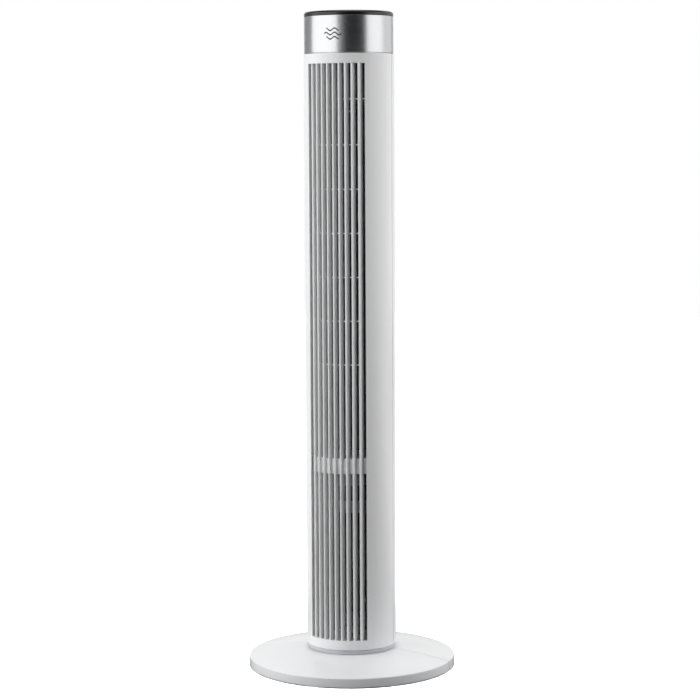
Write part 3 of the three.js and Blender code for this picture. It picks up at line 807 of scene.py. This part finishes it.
def build_cap():
    """The cap's flat panel and rounded edge, with holes for the buttons and the window."""
    r, low, high = HEAD_R, cap_low.z, cap_high.z
    under = high - CAP_WALL
    joint = trim_high.z + 0.3 * MM
    bore, skirt = 60 * MM, 62.2 * MM
    outline = rounded([
        (0, under, 0), (bore, under, 0), (bore, low, 0), (skirt, low, 0.3 * MM), (skirt, joint, 0),
        (r, joint, 0.3 * MM), (r, high, 4 * MM), (0, high, 0),
    ], 8)
    bm = bmesh.new()
    turn(bm, outline, 160)
    bmesh.ops.remove_doubles(bm, verts=bm.verts, dist=WELD)
    bmesh.ops.dissolve_limit(bm, angle_limit=math.radians(0.4), verts=bm.verts, edges=bm.edges)
    piece = finish_mesh(bm, "cap_panel")
    hollow = bmesh.new()
    edge, above = 0.3 * MM, high + 5 * MM
    for name in BUTTONS:
        hole = rod(BUTTON_R + edge, low, above)
        turn(hollow, hole, 48, to=Matrix.Translation((*button_centre(name), 0)))
    corner_low = (lens_low.x - edge, lens_low.y - edge, low)
    corner_high = (lens_high.x + edge, lens_high.y + edge, above)
    rounded_box(hollow, corner_low, corner_high, 2.3 * MM, 5)
    cut(piece, hollow)
    soften(piece, 0.2 * MM, angle=40)
    dress(piece, "tower", BLACK, ["top_cap"])


def build_lens():
    """The smoked window over the display."""
    bm = bmesh.new()
    rounded_box(bm, lens_low, lens_high, 2 * MM, 5)
    piece = finish_mesh(bm, "display_lens")
    soften(piece, 0.25 * MM, 3)
    dress(piece, "tower", LENS, ["display_window"])


def sign_strokes(name):
    """The centre lines of a button's plain sign, in units of the button's radius."""
    def arc(radius, first, last):
        turns = [math.radians(a) for a in spread(first, last, 12)]
        return [(radius * math.cos(a), radius * math.sin(a)) for a in turns]

    def wave(y):
        return [(x / 10, y + 0.16 * math.sin(x / 6 * math.pi)) for x in range(-6, 7)]

    return {
        "power": [arc(0.48, 130, 410), [(0, 0.2), (0, 0.66)]],
        "speed": [[(-0.4, -0.4), (-0.4, -0.05)], [(0, -0.4), (0, 0.2)], [(0.4, -0.4), (0.4, 0.48)]],
        "mode": [wave(-0.25), wave(0.2)],
        "timer": [arc(0.52, 0, 360), [(0, 0.34), (0, 0), (0.26, 0)]],
        "swing": [arc(0.5, 30, 150), [(-0.62, 0.16), (-0.43, 0.25), (-0.34, 0.46)],
                  [(0.62, 0.16), (0.43, 0.25), (0.34, 0.46)], arc(0.08, 0, 360)],
    }[name]


def build_key(name):
    """A round button with a dished top, a flange under the panel and a stem."""
    node = f"{name}_button"
    low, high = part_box(node)
    top, flange, stem = high.z, high.z - 3.4 * MM, 1.5 * MM
    lug = BUTTON_R + 1.4 * MM
    outline = rounded([
        (0, low.z, 0), (stem, low.z, 0.3 * MM), (stem, flange - 2 * MM, 0),
        (lug, flange - 2 * MM, 0.2 * MM), (lug, flange, 0.2 * MM), (BUTTON_R, flange, 0),
        (BUTTON_R, top, 0.5 * MM), (BUTTON_R * 0.8, top, 0.2 * MM), (0, top - BUTTON_DISH, 0),
    ], 4)
    bm = bmesh.new()
    turn(bm, outline, 56, to=Matrix.Translation((*button_centre(name), 0)))
    piece = finish_mesh(bm, f"{name}_key")
    dress(piece, node, BUTTON, [node])


def build_sign(name):
    """A button's sign, printed in its dish."""
    node = f"{name}_button"
    x, y = button_centre(name)
    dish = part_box(node)[1].z - BUTTON_DISH
    above, below = 0.06 * MM, -0.15 * MM
    bm = bmesh.new()
    for stroke in sign_strokes(name):
        points = [Vector((px, py)) * BUTTON_R for px, py in stroke]
        sides = []
        for i, point in enumerate(points):
            ahead = (points[min(i + 1, len(points) - 1)] - points[max(i - 1, 0)]).normalized()
            sides.append((point, Vector((-ahead.y, ahead.x)) * SIGN_STROKE))

        def place(i, across, side, sides=sides):
            point, normal = sides[int(i)]
            flat = point + normal * across
            bowl = 0.3 * MM * (flat.length / BUTTON_R) ** 2
            return Vector((x + flat.x, y + flat.y, dish + bowl + (below if side else above)))

        slab(bm, list(range(len(points))), [-1, 1], place)
    sign = finish_mesh(bm, f"{name}_sign")
    sign.data.set_sharp_from_angle(angle=math.radians(40))
    dress(sign, node, MARK)


def build_buttons():
    """The five buttons, each with its sign."""
    for name in BUTTONS:
        build_key(name)
        build_sign(name)


# ---- Impeller ----
BLADES = 30
BLADE_DEPTH = 10 * MM
BLADE_SWEEP = 0.34  # how far a blade leans from its inner to its outer edge, in radians
BLADE_THICK = 0.9 * MM
DRUM_DISCS = 7


def build_drum():
    """A long drum of thin curved blades, held by discs along its length."""
    spin = Vector((0, (drum_low.y + drum_high.y) / 2))
    outer, inner = drum_high.x - 0.3 * MM, drum_high.x - BLADE_DEPTH
    bm = bmesh.new()
    for i in range(BLADES):
        first = 2 * math.pi * i / BLADES

        def place(t, z, side, first=first):
            r = inner + (outer - inner) * t + (side - 0.5) * 0.25 * MM
            a = first + BLADE_SWEEP * math.sin(t * math.pi / 2) ** 2 + (side - 0.5) * BLADE_THICK / r
            return Vector((spin.x + r * math.cos(a), spin.y + r * math.sin(a), z))

        slab(bm, spread(0, 1, 0.2), [drum_low.z + 1 * MM, drum_high.z - 1 * MM], place)
    to = Matrix.Translation((spin.x, spin.y, 0))
    step = (drum_high.z - drum_low.z) / (DRUM_DISCS - 1)
    heights = spread(drum_low.z + 1.5 * MM, drum_high.z - 1.5 * MM, step)
    last = len(heights) - 1
    for k, z in enumerate(heights):
        hub = {0: 12 * MM, last: 4.3 * MM}.get(k, inner - 2 * MM)
        half = 1.5 * MM if k in (0, last) else 0.8 * MM
        disc = [(hub, z - half), (drum_high.x, z - half), (drum_high.x, z + half), (hub, z + half)]
        turn(bm, disc, 72, to=to)
    piece = finish_mesh(bm, "impeller_drum")
    piece.data.set_sharp_from_angle(angle=math.radians(35))
    dress(piece, "impeller", DARK, ["impeller"])


# ---- Screws ----


def build_screw(node, body, to, head_r, head_height, shank_r, length):
    """A pan-head screw with a cross recess. `to` puts its head's top at the origin, facing +Z."""
    outline = rounded([
        (0, -length, 0), (shank_r * 0.7, -length, 0), (shank_r, -length + shank_r, 0),
        (shank_r, -head_height, 0), (head_r, -head_height, 0.2 * MM),
        (head_r, -head_height * 0.45, head_height * 0.4), (head_r * 0.55, 0, 0.3 * MM), (0, 0, 0),
    ], 4)
    bm = bmesh.new()
    turn(bm, outline, 36)
    piece = finish_mesh(bm, f"{node}_pan")
    cross = bmesh.new()
    a, h = head_r * 0.62, head_r * 0.13
    plus = [
        (a, -h), (a, h), (h, h), (h, a), (-h, a), (-h, h),
        (-a, h), (-a, -h), (-h, -h), (-h, -a), (h, -a), (h, -h),
    ]
    loft(cross, [[Vector((x, y, z)) for x, y in plus] for z in (-head_height * 0.55, 1 * MM)])
    cut(piece, cross)
    piece.data.transform(to)
    piece.data.set_sharp_from_angle(angle=math.radians(35))
    dress(piece, body, STEEL, [node])


def build_screws():
    """Four screws up through the base, and four that hold the rear shell on."""
    down = Matrix.Rotation(math.radians(180), 4, "X")
    for i in range(1, 5):
        low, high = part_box(f"base_screw_{i}")
        middle = (low + high) / 2
        to = Matrix.Translation((middle.x, middle.y, low.z)) @ down
        build_screw(f"base_screw_{i}", "base", to, 4 * MM, 2 * MM, 2 * MM, high.z - low.z)
    for i in range(1, 5):
        low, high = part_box(f"shell_screw_{i}")
        middle = (low + high) / 2
        to = along_y(middle.x, high.y, middle.z)
        build_screw(f"shell_screw_{i}", "tower", to, 3.2 * MM, 2.4 * MM, 1.5 * MM, high.y - low.y)


# ---- Studio ----
VIEW_AZIMUTH = 21  # the camera stands to the right of the fan's front
VIEW_DISTANCE = 3.105
VIEW_HEIGHT = 0.7816
VIEW_TILT = 5.76
VIEW_ROLL = 0.30
VIEW_TURN = 0.008
VIEW_LENS = 109.22
FLOOR_HALF = 6
FACING_UP = 1000  # an aim so high that a light faces straight up


def build_camera():
    """A camera at the view's place, looking at the fan's axis and down by the tilt."""
    data = bpy.data.cameras.new("camera")
    data.lens = VIEW_LENS
    data.sensor_width = 36
    camera = bpy.data.objects.new("camera", data)
    a = math.radians(VIEW_AZIMUTH)
    camera.location = (VIEW_DISTANCE * math.sin(a), -VIEW_DISTANCE * math.cos(a), VIEW_HEIGHT)
    tilt = Matrix.Rotation(math.radians(90 - VIEW_TILT), 4, "X")
    roll = Matrix.Rotation(math.radians(-VIEW_ROLL), 4, "Z")
    camera.rotation_euler = (Matrix.Rotation(a + math.radians(VIEW_TURN), 4, "Z") @ tilt @ roll).to_euler()
    bpy.context.scene.collection.objects.link(camera)
    bpy.context.scene.camera = camera


def build_light(name, bearing, distance, height, size, radiance, aim=None, mirrored=True):
    """A softbox at a bearing from the view, in degrees to the right, facing the fan's axis
    at its own height, or at the height `aim`. Glossy surfaces don't show it if not mirrored."""
    data = bpy.data.lights.new(name, "AREA")
    data.shape = "RECTANGLE"
    data.size, data.size_y = size
    data.energy = math.pi * radiance * size[0] * size[1]
    light = bpy.data.objects.new(name, data)
    a = math.radians(VIEW_AZIMUTH + bearing)
    light.location = (distance * math.sin(a), -distance * math.cos(a), height)
    facing = Vector((0, 0, height if aim is None else aim)) - light.location
    light.rotation_euler = facing.to_track_quat("-Z", "Y").to_euler()
    light.visible_camera = False
    light.visible_glossy = mirrored
    bpy.context.scene.collection.objects.link(light)


def build_world():
    """A white backdrop for the camera, and next to no light from the room itself."""
    world = bpy.data.worlds.new("studio")
    bpy.context.scene.world = world
    world.use_nodes = True
    tree = world.node_tree
    tree.nodes.clear()
    room = tree.nodes.new("ShaderNodeBackground")
    room.inputs["Color"].default_value = (0.9, 0.95, 1.0, 1)
    room.inputs["Strength"].default_value = 0.02
    backdrop = tree.nodes.new("ShaderNodeBackground")
    backdrop.inputs["Strength"].default_value = 1.0
    backdrop.inputs["Color"].default_value = (1, 1, 1, 1)
    ray = tree.nodes.new("ShaderNodeLightPath")
    mix = tree.nodes.new("ShaderNodeMixShader")
    out = tree.nodes.new("ShaderNodeOutputWorld")
    tree.links.new(ray.outputs["Is Camera Ray"], mix.inputs["Fac"])
    tree.links.new(room.outputs["Background"], mix.inputs[1])
    tree.links.new(backdrop.outputs["Background"], mix.inputs[2])
    tree.links.new(mix.outputs["Shader"], out.inputs["Surface"])


def build_floor():
    """A plain white floor, which its own light from straight above keeps evenly bright."""
    bm = bmesh.new()
    corners = [(x * FLOOR_HALF, y * FLOOR_HALF, 0) for x, y in ((-1, -1), (1, -1), (1, 1), (-1, 1))]
    bm.faces.new([bm.verts.new(corner) for corner in corners])
    floor = finish_mesh(bm, "floor")
    material = bpy.data.materials.new("pale_floor")
    material.use_nodes = True
    tree = material.node_tree
    shader = tree.nodes["Principled BSDF"]
    shader.inputs["Roughness"].default_value = 0.9
    shader.inputs["Specular IOR Level"].default_value = 0.0
    ray = tree.nodes.new("ShaderNodeLightPath")
    paint = tree.nodes.new("ShaderNodeMix")
    paint.data_type = "RGBA"
    paint.inputs["A"].default_value = (0.03, 0.03, 0.03, 1)
    paint.inputs["B"].default_value = (0.9, 0.9, 0.9, 1)
    tree.links.new(ray.outputs["Is Camera Ray"], paint.inputs["Factor"])
    tree.links.new(paint.outputs["Result"], shader.inputs["Base Color"])
    floor.data.materials.append(material)

    lit = bpy.data.collections.new("floor_light")
    bpy.context.scene.collection.children.link(lit)
    lit.objects.link(floor)
    data = bpy.data.lights.new("floor_lamp", "SUN")
    data.energy = 6.0
    data.angle = math.radians(12)
    lamp = bpy.data.objects.new("floor_lamp", data)
    lamp.light_linking.receiver_collection = lit
    bpy.context.scene.collection.objects.link(lamp)


def build_studio():
    """The camera, the backdrop, the floor and the lights round the fan."""
    build_camera()
    build_world()
    build_floor()
    build_light("softbox_left", -68, 1.6, 1.28, (2.64, 2.16), 1.9)
    build_light("softbox_left_edge", -20, 2.6, 1.2, (0.55, 2.36), 0.3)
    build_light("softbox_left_rear", -128, 1.6, 1.2, (1.0, 2.36), 0.4)
    build_light("softbox_right", 71, 1.6, 1.3, (1.5, 1.9), 1.72)
    build_light("softbox_right_rear", 120, 1.6, 1.3, (1.4, 1.9), 1.1)
    build_light("softbox_back", 180, 2.2, 1.25, (2.5, 2.46), 0.9)
    build_light("softbox_overhead", 0, 0.01, 2.9, (1.6, 1.6), 2.9, aim=0)
    build_light("floor_card_back", 180, 1.3, 0.004, (3.4, 1.9), 0.8, aim=FACING_UP)
    build_light("low_strip_left", -72, 1.3, 0.2, (1.0, 0.36), 4.0, mirrored=False)
    build_light("low_strip_right", 98, 1.3, 0.2, (1.0, 0.36), 5.0, mirrored=False)
    bpy.context.scene.view_settings.view_transform = "Standard"


build_studio()
dress_cad_nodes()
build_base()
build_feet()
build_collar()
build_front_shell()
build_rear_shell()
build_handle()
build_gland()
build_partition()
build_trim()
build_breeze_mark()
build_cap()
build_lens()
build_buttons()
build_drum()
build_screws()
